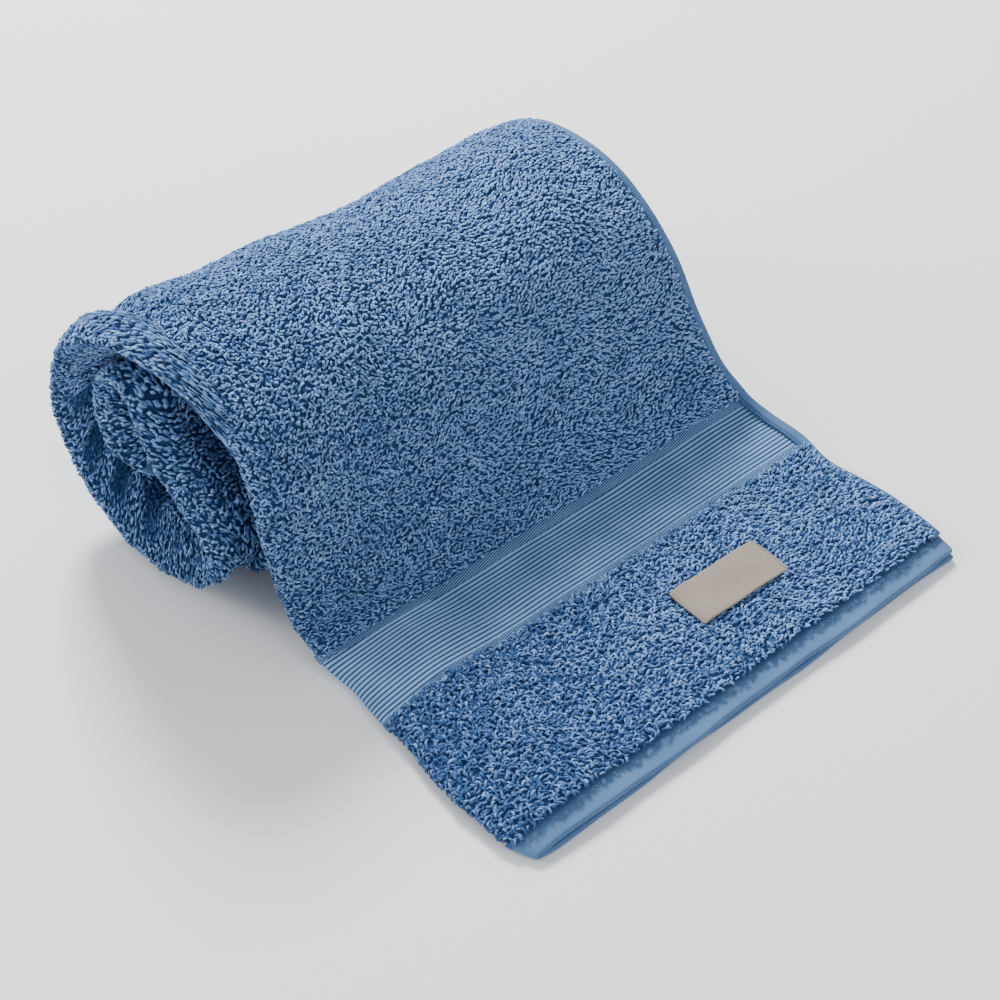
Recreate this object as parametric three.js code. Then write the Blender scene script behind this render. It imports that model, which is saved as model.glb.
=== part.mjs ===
// A terry face towel, folded in half along its length and loosely rolled, with its loose end laid flat in front.
// Millimetres. X runs along the roll, Y from the loose end's hem to the back of the roll, and Z is up.
// The towel is one solid: the folded cloth's hairpin section, carried along the wound path.
// A woven label lies on the loose end as a second solid.
import * as THREE from 'three';

// The cloth, folded in half: the fold is the near edge and the two selvages lie together at the far edge.
const CLOTH_LENGTH = 1000;
const FOLDED_WIDTH = 250;
const PILE_LAYER = 5.0;
const LAYER_GAP = 0.6;

// Bands across the loose end, measured along the cloth from the hem's edge.
const HEM_END = 13;
const BORDER_START = 84;
const BORDER_END = 129;
const BAND_STEP = 3;

// Thickness of one layer in each band.
const HEM_LAYER = 2.6;
const BORDER_LAYER = 3.4;

// Share of the half thickness that is left at the selvages' outer corners.
const SELVAGE_SHARE = 0.75;

// The foot, where the loose end turns up into the roll.
const FOOT_RADIUS = 26;

// Flat spot under the roll, as half of the angle that it takes out of a turn.
const REST_HALF_ANGLE = THREE.MathUtils.degToRad(13);

// Shape of the roll at places along it: the share of the way from the near end to the far end, the outer height's
// half, the sideways stretch of a turn, the centre's Y, the angle at which the loose end leaves, the pitch, and how
// far the turns stand out at the upper back.
const ROLL_SHAPE = [
  { along: 0.0, radius: 70.5, stretch: 1.06, centreY: 222, leave: 165, pitch: 11.8, back: -3.0 },
  { along: 0.25, radius: 67.5, stretch: 1.04, centreY: 223, leave: 159, pitch: 11.8, back: -1.2 },
  { along: 0.5, radius: 64.5, stretch: 1.03, centreY: 224, leave: 153, pitch: 11.7, back: 0.2 },
  { along: 0.72, radius: 64.5, stretch: 1.01, centreY: 225, leave: 148, pitch: 11.7, back: 3.2 },
  { along: 0.88, radius: 64.0, stretch: 1.00, centreY: 226, leave: 144, pitch: 11.7, back: 1.0 },
  { along: 1.0, radius: 61.5, stretch: 1.00, centreY: 227, leave: 141, pitch: 11.7, back: -1.0 },
];
const UPPER_BACK = { angle: 50, spread: 75 };

// The turn inside the loose end bulges forward under it.
const FRONT_BULGE = { angle: 214, spread: 40, turn: 0.85, turnSpread: 0.45, near: 2, far: 9 };

// At the near end the second turn stands out past the first and springs open there.
const CUFF = { firstX: -130, lastX: -152, depth: 8.0, turn: 1.66, turnSpread: 0.60 };

// The wound turns end here, on their second pass under the middle, and the cloth's inner end starts.
const WOUND_END_ANGLE = -101;

// The inner end is folded back inside the turns: it goes up from the front and comes down again behind.
// Places are shares of the last turn's radius from the middle of the roll.
const INNER_FOLD = [
  { back: -0.45, up: -0.88 },
  { back: -0.74, up: -0.74 },
  { back: -0.86, up: -0.52 },
  { back: -0.74, up: -0.30 },
  { back: -0.42, up: -0.14 },
  { back: -0.12, up: 0.06 },
  { back: 0.02, up: 0.34 },
  { back: 0.12, up: 0.58 },
  { back: 0.32, up: 0.68 },
  { back: 0.52, up: 0.56 },
  { back: 0.58, up: 0.28 },
  { back: 0.54, up: -0.06 },
  { back: 0.36, up: -0.36 },
  { back: 0.02, up: -0.48 },
];

// Where the two edges of the folded cloth lie along X, by distance along the cloth.
const EDGE_PLACES = [
  { along: 0, near: -124, far: 125.5 },
  { along: 15, near: -130, far: 127.5 },
  { along: 36, near: -132, far: 128 },
  { along: 54, near: -131.5, far: 126 },
  { along: 72, near: -129.5, far: 123 },
  { along: 92, near: -128.5, far: 126.5 },
  { along: 112, near: -127, far: 125 },
  { along: 130, near: -130, far: 118.5 },
  { along: 148, near: -135, far: 112 },
  { along: 170, near: -140, far: 110 },
  { along: 200, near: -146, far: 109 },
  { along: 240, near: -150, far: 104 },
  { along: 280, near: -147, far: 100 },
  { along: 330, near: -136, far: 104 },
  { along: 380, near: -128, far: 112 },
  { along: 450, near: -126, far: 116 },
  { along: 520, near: -128, far: 116 },
  { along: 580, near: -132, far: 112 },
  { along: 620, near: -149, far: 106 },
  { along: 655, near: -155, far: 100 },
  { along: 700, near: -155, far: 98 },
  { along: 740, near: -153, far: 98 },
  { along: 790, near: -152, far: 97 },
  { along: 825, near: -150, far: 98 },
  { along: 850, near: -142, far: 104 },
  { along: 875, near: -137, far: 110 },
  { along: 920, near: -139, far: 108 },
  { along: 960, near: -140, far: 108 },
  { along: 1000, near: -137, far: 110 },
];

// Label, sewn flat on the loose end, a little turned.
const LABEL = { width: 50, depth: 22, thickness: 0.8, bevel: 0.8, lift: 0.3, cornerX: 7, cornerY: 38, turn: -2.3 };

// Fineness of the solids.
const SLICE_COUNT = 37;
const FIRST_SLICE_X = -158;
const LAST_SLICE_X = 127;
const PATH_STEP = 1.5;
const FOOT_STEPS = 14;
const SPIRAL_STEPS = 500;
const INNER_STEPS = 200;
const OUTER_RING_STEP = 12;
const INNER_RING_STEP = 5.5;
const SECTION_FACE_STATIONS = [1.0, 0.985, 0.93, 0.82, 0.70, 0.56, 0.42, 0.28, 0.14];
const SECTION_SLIT_STATIONS = [0.985, 0.86, 0.70, 0.50, 0.28, 0.12];
const NOSE_STEPS = 6;

// Distance along the cloth past which its length is eased.
const EASE_START = 200;

// Distance to either side over which the middle line's slope is read.
const SLOPE_REACH = 3;

const TURN = 2 * Math.PI;
const BOTTOM_ANGLE = -90;

function tableValue(table, place, column) {
  const last = table.length - 1;
  if (place <= table[0].along) {
    return table[0][column];
  }
  for (let i = 0; i < last; i += 1) {
    if (place <= table[i + 1].along) {
      const share = (place - table[i].along) / (table[i + 1].along - table[i].along);
      const before = table[Math.max(i - 1, 0)];
      const after = table[Math.min(i + 2, last)];
      return smoothStretch(before, table[i], table[i + 1], after, share, column);
    }
  }
  return table[last][column];
}

// Cubic through two rows, with slopes taken from their neighbours.
function smoothStretch(before, start, end, after, share, column) {
  const span = end.along - start.along;
  const startSlope = (end[column] - before[column]) / (end.along - before.along) * span;
  const endSlope = (after[column] - start[column]) / (after.along - start.along) * span;
  const square = share * share;
  const cube = square * share;
  return (2 * cube - 3 * square + 1) * start[column] + (cube - 2 * square + share) * startSlope
    + (3 * square - 2 * cube) * end[column] + (cube - square) * endSlope;
}

// A smooth hump: 1 at the middle, 0 past the spread.
function hump(distance, spread) {
  if (Math.abs(distance) >= spread) {
    return 0;
  }
  return 0.5 + 0.5 * Math.cos(Math.PI * distance / spread);
}

function angleFrom(angle, degrees) {
  const difference = THREE.MathUtils.radToDeg(angle) - degrees;
  return THREE.MathUtils.euclideanModulo(difference + 180, 360) - 180;
}

// Thickness of the folded pair at a distance along the cloth.
function pairThickness(along) {
  const hem = 1 - THREE.MathUtils.smoothstep(along, HEM_END - BAND_STEP, HEM_END);
  const borderIn = THREE.MathUtils.smoothstep(along, BORDER_START, BORDER_START + BAND_STEP);
  const borderOut = THREE.MathUtils.smoothstep(along, BORDER_END - BAND_STEP, BORDER_END);
  const layer = PILE_LAYER - hem * (PILE_LAYER - HEM_LAYER) - (borderIn - borderOut) * (PILE_LAYER - BORDER_LAYER);
  return 2 * layer + LAYER_GAP;
}

const PILE_HALF = PILE_LAYER + LAYER_GAP / 2;

// Middle line of the folded pair on the slice at one place along X, as points at even distances from the hem's
// edge to the towel's inner end.
function slicePath(x) {
  const share = THREE.MathUtils.clamp(x / FOLDED_WIDTH + 0.5, 0, 1);
  const shape = {};
  for (const column of ['radius', 'stretch', 'centreY', 'leave', 'pitch', 'back']) {
    shape[column] = tableValue(ROLL_SHAPE, share, column);
  }
  const startAngle = THREE.MathUtils.degToRad(shape.leave);
  const startRadius = shape.radius - PILE_HALF;
  const bulge = THREE.MathUtils.lerp(FRONT_BULGE.near, FRONT_BULGE.far, share);
  const cuff = CUFF.depth * THREE.MathUtils.smoothstep(-x, -CUFF.firstX, -CUFF.lastX);

  const turnRadius = (turned) => {
    const angle = startAngle - turned;
    const turns = turned / TURN;
    const forward = bulge * hump(angleFrom(angle, FRONT_BULGE.angle), FRONT_BULGE.spread)
      * hump(turns - FRONT_BULGE.turn, FRONT_BULGE.turnSpread);
    const opened = cuff * hump(turns - CUFF.turn, CUFF.turnSpread);
    const upperBack = shape.back * hump(angleFrom(angle, UPPER_BACK.angle), UPPER_BACK.spread);
    const radius = startRadius - shape.pitch * turns + forward + opened + upperBack;
    const fromBottom = Math.abs(THREE.MathUtils.degToRad(angleFrom(angle, BOTTOM_ANGLE)));
    const flattened = fromBottom < REST_HALF_ANGLE ? Math.cos(REST_HALF_ANGLE) / Math.cos(fromBottom) : 1;
    return radius * flattened;
  };
  const centreZ = turnRadius(startAngle - THREE.MathUtils.degToRad(BOTTOM_ANGLE)) + PILE_HALF;
  const spiralPoint = (turned) => {
    const angle = startAngle - turned;
    const radius = turnRadius(turned);
    const y = shape.centreY + shape.stretch * radius * Math.cos(angle);
    return new THREE.Vector2(y, Math.max(centreZ + radius * Math.sin(angle), PILE_HALF));
  };

  const top = spiralPoint(0);
  const slope = new THREE.Vector2(shape.stretch * Math.sin(startAngle), -Math.cos(startAngle)).normalize();
  const foot = new THREE.Vector2(top.x - slope.x * (top.y - PILE_HALF) / slope.y, PILE_HALF);
  const rise = Math.atan2(slope.y, slope.x);
  const setback = FOOT_RADIUS * Math.tan(rise / 2);

  const points = [new THREE.Vector2(0, PILE_HALF)];
  for (let i = 0; i <= FOOT_STEPS; i += 1) {
    const angle = rise * i / FOOT_STEPS;
    const y = foot.x - setback + FOOT_RADIUS * Math.sin(angle);
    points.push(new THREE.Vector2(y, PILE_HALF + FOOT_RADIUS * (1 - Math.cos(angle))));
  }
  const woundEnd = startAngle - THREE.MathUtils.degToRad(WOUND_END_ANGLE) + TURN;
  for (let i = 0; i <= SPIRAL_STEPS; i += 1) {
    points.push(spiralPoint(woundEnd * i / SPIRAL_STEPS));
  }
  const lastRadius = turnRadius(woundEnd);
  const inner = [points[points.length - 1]];
  for (const { back, up } of INNER_FOLD) {
    inner.push(new THREE.Vector2(
      shape.centreY + shape.stretch * lastRadius * back,
      centreZ + lastRadius * up,
    ));
  }
  points.push(...new THREE.SplineCurve(inner).getPoints(INNER_STEPS).slice(1));
  return evenPath(points);
}

// The same line with points at even distances along the cloth. Past the foot the line's length is shared out
// evenly, because the turns are a little longer at the thick end of the roll than at the thin end.
function evenPath(points) {
  const distances = [0];
  for (let i = 1; i < points.length; i += 1) {
    distances.push(distances[i - 1] + points[i].distanceTo(points[i - 1]));
  }
  const total = distances[distances.length - 1];
  const even = [];
  let index = 0;
  for (let along = 0; along <= CLOTH_LENGTH + PATH_STEP; along += PATH_STEP) {
    const past = Math.max(along - EASE_START, 0) * (total - EASE_START) / (CLOTH_LENGTH - EASE_START);
    const distance = Math.min(along, EASE_START) + past;
    while (distance > distances[index + 1] && index < points.length - 2) {
      index += 1;
    }
    const step = (distance - distances[index]) / (distances[index + 1] - distances[index]);
    even.push(points[index].clone().lerp(points[index + 1], step));
  }
  return even;
}

const SLICES = [];
for (let i = 0; i < SLICE_COUNT; i += 1) {
  SLICES.push(slicePath(THREE.MathUtils.lerp(FIRST_SLICE_X, LAST_SLICE_X, i / (SLICE_COUNT - 1))));
}

// Point of the middle line at a distance along the cloth, on the slice at a place along X.
function middlePoint(along, x) {
  const place = (x - FIRST_SLICE_X) / (LAST_SLICE_X - FIRST_SLICE_X) * (SLICE_COUNT - 1);
  const slice = THREE.MathUtils.clamp(Math.floor(place), 0, SLICE_COUNT - 2);
  const step = Math.max(along / PATH_STEP, 0);
  const index = Math.min(Math.floor(step), SLICES[0].length - 2);
  const onSlice = (path) => path[index].clone().lerp(path[index + 1], step - index);
  return onSlice(SLICES[slice]).lerp(onSlice(SLICES[slice + 1]), THREE.MathUtils.clamp(place - slice, 0, 1));
}

// Place on the folded cloth: along it from the hem, across it from the fold (0) to the selvages (1),
// and up from the pair's middle, where the outer face is positive.
function clothPoint(along, across, height) {
  const near = tableValue(EDGE_PLACES, along, 'near');
  const far = tableValue(EDGE_PLACES, along, 'far');
  const x = near + (far - near) * across;
  const ahead = middlePoint(along + SLOPE_REACH, x);
  const direction = ahead.sub(middlePoint(along - SLOPE_REACH, x)).normalize();
  const middle = middlePoint(along, x);
  const drop = PILE_HALF - pairThickness(along) / 2;
  const offset = height - drop;
  return new THREE.Vector3(x, middle.x - direction.y * offset, middle.y + direction.x * offset);
}

// One closed loop round the folded pair's hairpin section, from the outer selvage edge over the outer face,
// round the fold, back along the inner face, and into the slit between the layers.
function hairpinSection(along) {
  const half = pairThickness(along) / 2;
  const slit = LAYER_GAP / 2;
  const nose = half / FOLDED_WIDTH;
  const loop = [];
  for (const across of SECTION_FACE_STATIONS) {
    loop.push([across, across === 1 ? half * SELVAGE_SHARE : half]);
  }
  for (let i = 0; i <= NOSE_STEPS; i += 1) {
    const angle = Math.PI * i / NOSE_STEPS;
    loop.push([nose * (1 - Math.sin(angle)), half * Math.cos(angle)]);
  }
  for (const across of [...SECTION_FACE_STATIONS].reverse()) {
    loop.push([across, across === 1 ? -half * SELVAGE_SHARE : -half]);
  }
  loop.push([1, -slit]);
  for (const across of SECTION_SLIT_STATIONS) {
    loop.push([across, -slit]);
  }
  loop.push([nose, 0]);
  for (const across of [...SECTION_SLIT_STATIONS].reverse()) {
    loop.push([across, slit]);
  }
  loop.push([1, slit]);
  return loop;
}

// Distances along the cloth at which the section is set: close together at the bands and in the inner turns.
function ringPlaces() {
  const places = [0, 2, HEM_END - BAND_STEP, HEM_END, 30, 48, 66, BORDER_START, BORDER_START + BAND_STEP];
  places.push(106, BORDER_END - BAND_STEP, BORDER_END);
  let along = BORDER_END;
  while (along < CLOTH_LENGTH - INNER_RING_STEP) {
    const depth = THREE.MathUtils.smoothstep(along, BORDER_END, CLOTH_LENGTH);
    along += THREE.MathUtils.lerp(OUTER_RING_STEP, INNER_RING_STEP, depth);
    if (along < CLOTH_LENGTH - INNER_RING_STEP / 2) {
      places.push(along);
    }
  }
  places.push(CLOTH_LENGTH);
  return places;
}

function towelGeometry() {
  const positions = [];
  const indices = [];
  const rings = ringPlaces();
  let count = 0;
  for (const along of rings) {
    const loop = hairpinSection(along);
    count = loop.length;
    for (const [across, height] of loop) {
      positions.push(...clothPoint(along, across, height).toArray());
    }
  }
  for (let ring = 0; ring + 1 < rings.length; ring += 1) {
    for (let i = 0; i < count; i += 1) {
      const next = (i + 1) % count;
      const a = ring * count + i;
      const b = ring * count + next;
      indices.push(a, a + count, b, b, a + count, b + count);
    }
  }
  const outline = hairpinSection(0).map(([across, height]) => new THREE.Vector2(across * FOLDED_WIDTH, height));
  for (const [i, j, k] of THREE.ShapeUtils.triangulateShape(outline, [])) {
    const last = (rings.length - 1) * count;
    indices.push(i, j, k, last + i, last + k, last + j);
  }
  const geometry = new THREE.BufferGeometry();
  geometry.setAttribute('position', new THREE.Float32BufferAttribute(positions, 3));
  geometry.setIndex(indices);
  geometry.computeVertexNormals();
  return geometry;
}

function labelMesh(material) {
  const outline = new THREE.Shape();
  const { width, depth, bevel } = LABEL;
  outline.moveTo(bevel, 0);
  outline.lineTo(width - bevel, 0);
  outline.lineTo(width, bevel);
  outline.lineTo(width, depth - bevel);
  outline.lineTo(width - bevel, depth);
  outline.lineTo(bevel, depth);
  outline.lineTo(0, depth - bevel);
  outline.lineTo(0, bevel);
  outline.closePath();
  const mesh = new THREE.Mesh(
    new THREE.ExtrudeGeometry(outline, { depth: LABEL.thickness, bevelEnabled: false }),
    material,
  );
  mesh.name = 'label';
  mesh.position.set(LABEL.cornerX, LABEL.cornerY, 2 * PILE_HALF + LABEL.lift);
  mesh.rotation.z = THREE.MathUtils.degToRad(LABEL.turn);
  return mesh;
}

const terry = new THREE.MeshStandardMaterial({ color: 0x5c86b4, roughness: 0.95, metalness: 0 });
const tape = new THREE.MeshStandardMaterial({ color: 0xb1a59b, roughness: 0.8, metalness: 0 });

const towel = new THREE.Mesh(towelGeometry(), terry);
towel.name = 'towel';

// The row's origin is the middle of the box round the towel, on the surface that it rests on.
const group = new THREE.Group();
group.add(towel, labelMesh(tape));
const box = new THREE.Box3().setFromObject(towel);
const middle = box.getCenter(new THREE.Vector3());
group.position.set(-middle.x, -middle.y, -box.min.z);

export default group;
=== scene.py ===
"""Looks of a terry face towel, folded in half along its length and loosely rolled.

Lengths on the cloth are in millimetres and become metres where a mesh is made. X runs along the roll, from the
folded edge to the selvages, Y from the loose end's hem to the back of the roll, and Z is up.
"""
import logging
import math
from dataclasses import dataclass, field
from enum import Enum

import bpy
import numpy as np
from mathutils import Matrix, Vector


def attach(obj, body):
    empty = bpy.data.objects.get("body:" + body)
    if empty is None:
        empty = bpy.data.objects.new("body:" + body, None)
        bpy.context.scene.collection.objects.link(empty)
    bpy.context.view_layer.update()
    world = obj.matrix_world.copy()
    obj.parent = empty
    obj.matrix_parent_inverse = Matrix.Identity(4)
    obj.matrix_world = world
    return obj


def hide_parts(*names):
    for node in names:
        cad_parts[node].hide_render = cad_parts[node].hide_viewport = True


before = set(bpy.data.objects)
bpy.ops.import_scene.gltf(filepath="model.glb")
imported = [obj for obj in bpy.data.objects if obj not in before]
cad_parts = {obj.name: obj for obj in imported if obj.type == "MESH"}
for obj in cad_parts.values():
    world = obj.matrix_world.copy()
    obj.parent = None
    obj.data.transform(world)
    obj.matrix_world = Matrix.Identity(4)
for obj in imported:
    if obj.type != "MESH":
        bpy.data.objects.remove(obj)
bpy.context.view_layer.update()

LOG = logging.getLogger("rolled_towel")

# Where the middle of the hem's edge lies in the part's own frame, in millimetres.
HOME_X = 13.741
HOME_Y = -144.853
TO_METRES = 0.001
# Length of one band of Blender's wave texture at a scale of 1, in metres.
WAVE_LENGTH = 0.314
NO_TRIANGLES = np.empty((0, 3), dtype=int)


class Face(Enum):
    """The two faces of the folded cloth."""

    OUTER = 1
    INNER = -1


@dataclass(frozen=True)
class ClothCut:
    """Sizes of the towel as it lies folded in half, in millimetres."""

    length: float = 1000.0
    folded_width: float = 250.0
    pile_layer: float = 5.0
    layer_gap: float = 0.6
    hem_end: float = 10.5
    border_start: float = 85.5
    border_end: float = 129.0
    hem_layer: float = 2.6
    border_layer: float = 3.4
    pile_depth: float = 1.45
    ground_thickness: float = 0.8
    selvage_width: float = 5.5

    @property
    def pile_half(self) -> float:
        """Half the folded pair's thickness where it has pile."""
        return self.pile_layer + self.layer_gap / 2

    @property
    def border_half(self) -> float:
        """Half the folded pair's thickness at the woven border."""
        return self.border_layer + self.layer_gap / 2

    @property
    def hem_half(self) -> float:
        """Half the folded pair's thickness at the hem."""
        return self.hem_layer + self.layer_gap / 2


def hermite(t: np.ndarray, start: np.ndarray, start_slope: np.ndarray, end: np.ndarray,
            end_slope: np.ndarray) -> np.ndarray:
    """Hermite cubic from the start at t = 0 to the end at t = 1, with the given slopes there."""
    return ((2 * t**3 - 3 * t**2 + 1) * start + (t**3 - 2 * t**2 + t) * start_slope
            + (3 * t**2 - 2 * t**3) * end + (t**3 - t**2) * end_slope)


def cubic_table(rows: np.ndarray, column: int, place: np.ndarray) -> np.ndarray:
    """Read a column of a table at any place, with a cubic between its rows.

    Each stretch is a Hermite cubic whose slope at a row is that of the line through the two rows beside it.

    Args:
        rows: Table whose first column is the place of each row.
        column: Number of the column to read.
        place: Places to read it at.

    Returns:
        The column's value at each place.
    """
    at = rows[:, 0]
    value = rows[:, column]
    last = len(at) - 1
    i = np.clip(np.searchsorted(at, place, side="left") - 1, 0, last - 1)
    before = np.maximum(i - 1, 0)
    after = np.minimum(i + 2, last)
    span = at[i + 1] - at[i]
    t = np.clip((place - at[i]) / span, 0.0, 1.0)
    start_slope = (value[i + 1] - value[before]) / (at[i + 1] - at[before]) * span
    end_slope = (value[after] - value[i]) / (at[after] - at[i]) * span
    return hermite(t, value[i], start_slope, value[i + 1], end_slope)


def hump(distance: np.ndarray, spread: float) -> np.ndarray:
    """Raised cosine: 1 at the middle and 0 past the spread."""
    return np.where(np.abs(distance) < spread, 0.5 + 0.5 * np.cos(np.pi * distance / spread), 0.0)


def smooth_step(value: np.ndarray, low: float, high: float) -> np.ndarray:
    """Cubic step from 0 at low to 1 at high."""
    t = np.clip((value - low) / (high - low), 0.0, 1.0)
    return t * t * (3 - 2 * t)


def even(start: float, stop: float, step: float) -> np.ndarray:
    """Even places from start to stop, about a step apart, with both ends."""
    return np.linspace(start, stop, max(int(round((stop - start) / step)), 1) + 1)


def ring_faces(rings: int, sides: int, first: int) -> np.ndarray:
    """Faces of a tube between rings of points that follow each other.

    Args:
        rings: Number of rings.
        sides: Number of points on each ring.
        first: Number of the first ring's first point.

    Returns:
        Rows of four point numbers.
    """
    turn = np.arange(sides)
    after = (turn + 1) % sides
    return np.concatenate([
        np.stack([low + turn, low + after, low + sides + after, low + sides + turn], axis=1)
        for low in first + sides * np.arange(rings - 1)])


def repeated(faces: np.ndarray, count: int, points: int) -> np.ndarray:
    """The faces of a count of like bodies, each with that many points."""
    return (faces[None] + points * np.arange(count)[:, None, None]).reshape(-1, faces.shape[1])


def add_object(name: str, data: bpy.types.ID) -> bpy.types.Object:
    """Make an object of the data and link it to the scene."""
    made = bpy.data.objects.new(name, data)
    bpy.context.scene.collection.objects.link(made)
    return made


def in_frame(x: np.ndarray, y: np.ndarray, z: np.ndarray) -> np.ndarray:
    """Points in the part's frame, in metres, of places measured from the hem in millimetres."""
    return np.stack([x + HOME_X, y + HOME_Y, z], axis=-1) * TO_METRES


@dataclass
class WoundPath:
    """Middle line of the folded pair, as it lies flat, turns up and winds round, on slices across the roll.

    Each slice is a line in the Y-Z plane: a flat stretch, an arc at the foot, a straight slope, then a spiral
    whose radius falls evenly with the angle turned, and an inner end folded back inside the turns.
    """

    cut: ClothCut
    foot_radius: float = 26.0
    rest_half_angle: float = math.radians(13)
    ease_start: float = 200.0
    wound_end_angle: float = -101.0
    first_x: float = -158.0
    last_x: float = 127.0
    slice_count: int = 37
    step: float = 1.5
    front_angle: float = 214.0
    upper_back_angle: float = 50.0
    bottom_angle: float = -90.0
    front_bulge: tuple[float, float] = (2.0, 9.0)
    cuff_rise: float = 8.0
    flare_rise: float = 15.0
    roll_shape: np.ndarray = field(default_factory=lambda: np.array([
        # share along, radius, stretch, centre Y, leave, pitch, upper back
        [0.00, 70.5, 1.06, 222, 165, 11.8, -3.0],
        [0.25, 67.5, 1.04, 223, 159, 11.8, -1.2],
        [0.50, 64.5, 1.03, 224, 153, 11.7, 0.2],
        [0.72, 64.5, 1.01, 225, 148, 11.7, 3.2],
        [0.88, 64.0, 1.00, 226, 144, 11.7, 1.0],
        [1.00, 61.5, 1.00, 227, 141, 11.7, -1.0],
    ]))
    inner_fold: np.ndarray = field(default_factory=lambda: np.array([
        # shares of the last turn's radius: back, up
        [-0.45, -0.88], [-0.74, -0.74], [-0.86, -0.52], [-0.74, -0.30], [-0.42, -0.14], [-0.12, 0.06],
        [0.02, 0.34], [0.12, 0.58], [0.32, 0.68], [0.52, 0.56], [0.58, 0.28], [0.54, -0.06],
        [0.36, -0.36], [0.02, -0.48],
    ]))
    edges: np.ndarray = field(default_factory=lambda: np.array([
        # along the cloth, X of the fold, X of the selvages
        [0, -124, 125.5], [15, -130, 127.5], [36, -132, 128], [54, -131.5, 126], [72, -129.5, 123],
        [92, -128.5, 126.5], [112, -127, 125], [130, -130, 118.5], [148, -134, 112], [170, -137, 110],
        [200, -138, 109], [240, -136, 104], [280, -133, 100], [330, -127, 104], [380, -124, 112],
        [450, -124, 116], [520, -126, 116], [580, -132, 112], [620, -149, 106], [655, -155, 100],
        [700, -155, 98], [740, -154, 98], [790, -152, 97], [825, -150, 98], [850, -147, 104],
        [875, -146, 110], [920, -147, 108], [972, -147, 108], [1000, -131, 110],
    ], dtype=float))
    slices: np.ndarray = field(init=False)

    def __post_init__(self) -> None:
        """Work out every slice once."""
        places = np.linspace(self.first_x, self.last_x, self.slice_count)
        self.slices = np.stack([self.even_path(self.slice_line(x)) for x in places])

    def slice_line(self, x: float) -> np.ndarray:
        """Points of the middle line on one slice.

        Args:
            x: Place of the slice along the roll.

        Returns:
            Rows of Y and Z, at uneven distances.
        """
        share = np.array(min(max(x / self.cut.folded_width + 0.5, 0.0), 1.0))
        radius, stretch, centre_y, leave, pitch, back = (
            float(cubic_table(self.roll_shape, column, share)) for column in range(1, 7))
        half = self.cut.pile_half
        start = math.radians(leave)
        bulge = self.front_bulge[0] + (self.front_bulge[1] - self.front_bulge[0]) * float(share)
        cuff = self.cuff_rise * float(smooth_step(np.array(-x), 130.0, 152.0))
        flare = self.flare_rise * float(smooth_step(np.array(-x), 122.0, 141.0))

        def turn_radius(turned: np.ndarray) -> np.ndarray:
            """Radius after an angle: an even fall, with the bulges of the front, the upper back and the cuff.

            Args:
                turned: Angle turned since the top of the slope, in radians.

            Returns:
                Radius, drawn out to a level line where the roll rests on the floor.
            """
            from_front, from_back, from_bottom = (
                np.mod(np.degrees(start - turned) - at + 180, 360) - 180
                for at in (self.front_angle, self.upper_back_angle, self.bottom_angle))
            turns = turned / (2 * np.pi)
            reach = (radius - half - pitch * turns + bulge * hump(from_front, 40) * hump(turns - 0.85, 0.45)
                     + cuff * hump(turns - 1.66, 0.60) + flare * hump(turns - 1.16, 0.30)
                     + back * hump(from_back, 75))
            low = np.abs(np.radians(from_bottom))
            return reach * np.where(low < self.rest_half_angle,
                                    math.cos(self.rest_half_angle) / np.cos(np.minimum(low, 1.0)), 1.0)

        centre_z = float(turn_radius(np.array(start + np.pi / 2))) + half
        wound = start - math.radians(self.wound_end_angle) + 2 * np.pi
        turned = np.linspace(0.0, wound, 501)
        reach = turn_radius(turned)
        spiral = np.stack([centre_y + stretch * reach * np.cos(start - turned),
                           np.maximum(centre_z + reach * np.sin(start - turned), half)], axis=1)
        slope = np.array([stretch * math.sin(start), -math.cos(start)])
        slope /= np.linalg.norm(slope)
        foot_y = spiral[0, 0] - slope[0] * (spiral[0, 1] - half) / slope[1]
        rise = math.atan2(slope[1], slope[0])
        setback = self.foot_radius * math.tan(rise / 2)
        arc = np.linspace(0.0, rise, 15)
        foot = np.stack([foot_y - setback + self.foot_radius * np.sin(arc),
                         half + self.foot_radius * (1 - np.cos(arc))], axis=1)
        last = reach[-1]
        inner = np.stack([centre_y + stretch * last * self.inner_fold[:, 0],
                          centre_z + last * self.inner_fold[:, 1]], axis=1)
        inner = self.rounded(np.vstack([spiral[-1:], inner]), 200)
        return np.vstack([[[0.0, half]], foot, spiral, inner[1:]])

    @staticmethod
    def rounded(points: np.ndarray, count: int) -> np.ndarray:
        """Smooth curve through points: a uniform Catmull-Rom cubic between each two of them.

        Args:
            points: Rows of coordinates.
            count: Number of steps on the curve.

        Returns:
            Rows of coordinates on the curve.
        """
        last = len(points) - 1
        at = np.linspace(0.0, last, count + 1)
        i = np.minimum(at.astype(int), last - 1)
        t = (at - i)[:, None]
        before, start, end, after = (points[np.clip(i + k, 0, last)] for k in (-1, 0, 1, 2))
        return hermite(t, start, (end - before) / 2, end, (after - start) / 2)

    def even_path(self, points: np.ndarray) -> np.ndarray:
        """The same line with points at even distances along the cloth.

        Args:
            points: Rows of Y and Z.

        Returns:
            Rows of Y and Z, a step apart; past the foot the length is shared out evenly.
        """
        distances = np.concatenate([[0.0], np.cumsum(np.hypot(*np.diff(points, axis=0).T))])
        along = np.arange(0.0, self.cut.length + 2 * self.step, self.step)
        past = np.maximum(along - self.ease_start, 0.0)
        past *= (distances[-1] - self.ease_start) / (self.cut.length - self.ease_start)
        target = np.minimum(along, self.ease_start) + past
        return np.stack([np.interp(target, distances, points[:, k]) for k in (0, 1)], axis=1)

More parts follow.
